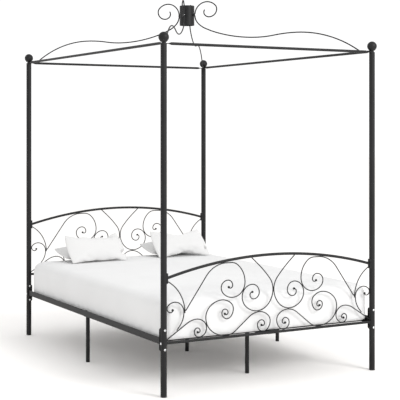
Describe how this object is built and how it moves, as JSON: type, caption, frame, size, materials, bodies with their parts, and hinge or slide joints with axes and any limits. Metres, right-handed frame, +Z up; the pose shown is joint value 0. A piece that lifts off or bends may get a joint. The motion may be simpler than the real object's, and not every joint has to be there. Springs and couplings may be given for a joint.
{
  "type": "four poster canopy bed",
  "caption": "Black metal four poster bed with scrollwork footboard and headboard, canopy rails, a crown of scrolled rods, white mattress and pillows.",
  "frame": {"origin": "on the floor at the middle of the bed", "axes": "+X to the right seen from the foot end, +Y from foot to head, +Z up"},
  "size_m": [1.48, 2.1586, 2.2976],
  "materials": {
    "black_coat": "satin black powder coat",
    "bright_steel": "bright zinc-plated steel",
    "black_plastic": "matt black",
    "mattress_cover": "white woven cotton",
    "pillow_cover": "white woven cotton"
  },
  "bodies": {
    "frame": {"canopy_rail_foot": "black_coat", "canopy_rail_head": "black_coat", "canopy_rail_left": "black_coat", "canopy_rail_right": "black_coat", "centre_beam": "black_coat", "centre_legs": "black_coat", "crown_drum": "black_coat", "crown_rod_foot_left": "black_coat", "crown_rod_foot_right": "black_coat", "crown_rod_head_left": "black_coat", "crown_rod_head_right": "black_coat", "crown_screws": "bright_steel", "crown_standoffs": "black_coat", "finials": "black_coat", "footboard_arch_rail": "black_coat", "footboard_arch_scrolls": "black_coat", "footboard_brace_rods": "black_coat", "footboard_centre_scrolls": "black_coat", "footboard_corner_scrolls": "black_coat", "footboard_end_plates": "black_coat", "footboard_lower_rail": "black_coat", "footboard_post_scrolls": "black_coat", "footboard_s_scrolls": "black_coat", "frame_bolts": "bright_steel", "frame_nuts": "bright_steel", "headboard_arch_rail": "black_coat", "headboard_arch_scrolls": "black_coat", "headboard_brace_rods": "black_coat", "headboard_centre_scrolls": "black_coat", "headboard_corner_scrolls": "black_coat", "headboard_cross_rail": "black_coat", "headboard_end_plates": "black_coat", "headboard_lower_rail": "black_coat", "headboard_post_scrolls": "black_coat", "headboard_s_scrolls": "black_coat", "leg_caps": "black_plastic", "lower_post_foot_left": "black_coat", "lower_post_foot_right": "black_coat", "lower_post_head_left": "black_coat", "lower_post_head_right": "black_coat", "post_foot_caps": "black_plastic", "post_sleeves": "black_coat", "post_top_plugs": "black_plastic", "side_legs": "black_coat", "side_rail_end_plates": "black_coat", "side_rail_joiners": "black_coat", "side_rail_left_foot": "black_coat", "side_rail_left_head": "black_coat", "side_rail_right_foot": "black_coat", "side_rail_right_head": "black_coat", "slats": "black_coat", "upper_post_foot_left": "black_coat", "upper_post_foot_right": "black_coat", "upper_post_head_left": "black_coat", "upper_post_head_right": "black_coat"},
    "mattress": {"mattress": "mattress_cover"},
    "left_back_pillow": {"pillow_left_back": "pillow_cover"},
    "left_front_pillow": {"pillow_left_front": "pillow_cover"},
    "right_back_pillow": {"pillow_right_back": "pillow_cover"},
    "right_front_pillow": {"pillow_right_front": "pillow_cover"}
  },
  "joints": [
    {"name": "mattress_lift", "type": "slide", "parent": "frame", "child": "mattress", "axis": [0, 0, 1], "range_m": [0, 0.6]},
    {"name": "left_back_pillow_lift", "type": "slide", "parent": "mattress", "child": "left_back_pillow", "axis": [0, 0, 1], "range_m": [0, 0.3]},
    {"name": "left_front_pillow_lift", "type": "slide", "parent": "left_back_pillow", "child": "left_front_pillow", "axis": [0, 0, 1], "range_m": [0, 0.3]},
    {"name": "right_back_pillow_lift", "type": "slide", "parent": "mattress", "child": "right_back_pillow", "axis": [0, 0, 1], "range_m": [0, 0.3]},
    {"name": "right_front_pillow_lift", "type": "slide", "parent": "right_back_pillow", "child": "right_front_pillow", "axis": [0, 0, 1], "range_m": [0, 0.3]}
  ]
}
